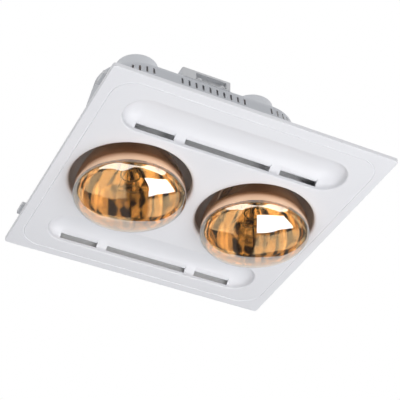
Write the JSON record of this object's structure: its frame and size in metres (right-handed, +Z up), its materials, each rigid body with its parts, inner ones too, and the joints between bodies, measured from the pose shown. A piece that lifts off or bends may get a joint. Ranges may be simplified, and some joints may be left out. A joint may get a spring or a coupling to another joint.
{
  "type": "bathroom ceiling heater",
  "caption": "Recessed bathroom ceiling heater with a square white fascia, reflector heat lamps and a tapered vented housing.",
  "frame": {"origin": "centre of the ceiling plane, between the fixing holes, on the upper face of the flange", "axes": "+Z up into the ceiling void, +X along the row of lamps, -Y towards the terminal box"},
  "size_m": [0.335, 0.33, 0.2118],
  "materials": {
    "panel_plastic": "satin",
    "white_steel": "satin",
    "zinc_steel": "satin",
    "box_plastic": "matt",
    "lamp_glass": "gloss",
    "stem_glass": "gloss",
    "tungsten": "satin",
    "aluminium": "satin",
    "brass": "satin",
    "porcelain": "satin",
    "brown_sleeve": "satin",
    "blue_sleeve": "satin",
    "green_sleeve": "satin"
  },
  "bodies": {
    "fascia": {"fascia_panel": "panel_plastic"},
    "left_lamp": {"left_bulb": "lamp_glass", "left_lamp_cap": "aluminium", "left_cap_contact": "brass", "left_stem": "stem_glass", "left_filament": "tungsten", "left_filament_supports": "tungsten"},
    "right_lamp": {"right_bulb": "lamp_glass", "right_lamp_cap": "aluminium", "right_cap_contact": "brass", "right_stem": "stem_glass", "right_filament": "tungsten", "right_filament_supports": "tungsten"},
    "box_cover": {"terminal_box_cover": "box_plastic", "cover_screws": "zinc_steel"},
    "near_left_latch_body": {"near_left_latch": "box_plastic"},
    "near_right_latch_body": {"near_right_latch": "box_plastic"},
    "far_left_latch_body": {"far_left_latch": "box_plastic"},
    "far_right_latch_body": {"far_right_latch": "box_plastic"},
    "housing": {"fascia_clips": "zinc_steel", "clip_rivets": "aluminium", "housing_body": "white_steel", "latch_screws": "zinc_steel", "holder_screws": "zinc_steel", "terminal_box": "box_plastic", "cord_clamp": "box_plastic", "cord_clamp_screws": "zinc_steel", "terminal_block": "box_plastic", "terminal_inserts": "brass", "terminal_screws": "zinc_steel", "thermal_cutout": "aluminium", "cutout_bracket": "zinc_steel", "cutout_tabs": "brass", "earth_tag": "brass", "roof_screws": "zinc_steel", "live_feed_wire": "brown_sleeve", "left_live_wire": "brown_sleeve", "right_live_wire": "brown_sleeve", "left_neutral_wire": "blue_sleeve", "right_neutral_wire": "blue_sleeve", "earth_wire": "green_sleeve", "left_lamp_holder": "porcelain", "left_holder_terminals": "brass", "left_screw_shell": "brass", "left_centre_contact": "brass", "left_holder_bracket": "zinc_steel", "right_lamp_holder": "porcelain", "right_holder_terminals": "brass", "right_screw_shell": "brass", "right_centre_contact": "brass", "right_holder_bracket": "zinc_steel"}
  },
  "joints": [
    {"name": "fascia_drop", "type": "slide", "parent": "housing", "child": "fascia", "axis": [0, 0, -1], "range_m": [0, 0.03]},
    {"name": "left_lamp_out", "type": "slide", "parent": "housing", "child": "left_lamp", "axis": [0, 0, -1], "range_m": [0, 0.03]},
    {"name": "right_lamp_out", "type": "slide", "parent": "housing", "child": "right_lamp", "axis": [0, 0, -1], "range_m": [0, 0.03]},
    {"name": "box_cover_lift", "type": "slide", "parent": "housing", "child": "box_cover", "axis": [0, 0, 1], "range_m": [0, 0.025]},
    {"name": "near_left_latch_swing", "type": "hinge", "parent": "housing", "child": "near_left_latch_body", "pos_m": [-0.143, -0.122, 0.0162], "axis": [0, 0, -1], "range_deg": [0, 90]},
    {"name": "near_right_latch_swing", "type": "hinge", "parent": "housing", "child": "near_right_latch_body", "pos_m": [0.143, -0.122, 0.0162], "axis": [0, 0, 1], "range_deg": [0, 90]},
    {"name": "far_left_latch_swing", "type": "hinge", "parent": "housing", "child": "far_left_latch_body", "pos_m": [-0.143, 0.122, 0.0162], "axis": [0, 0, 1], "range_deg": [0, 90]},
    {"name": "far_right_latch_swing", "type": "hinge", "parent": "housing", "child": "far_right_latch_body", "pos_m": [0.143, 0.122, 0.0162], "axis": [0, 0, -1], "range_deg": [0, 90]}
  ]
}
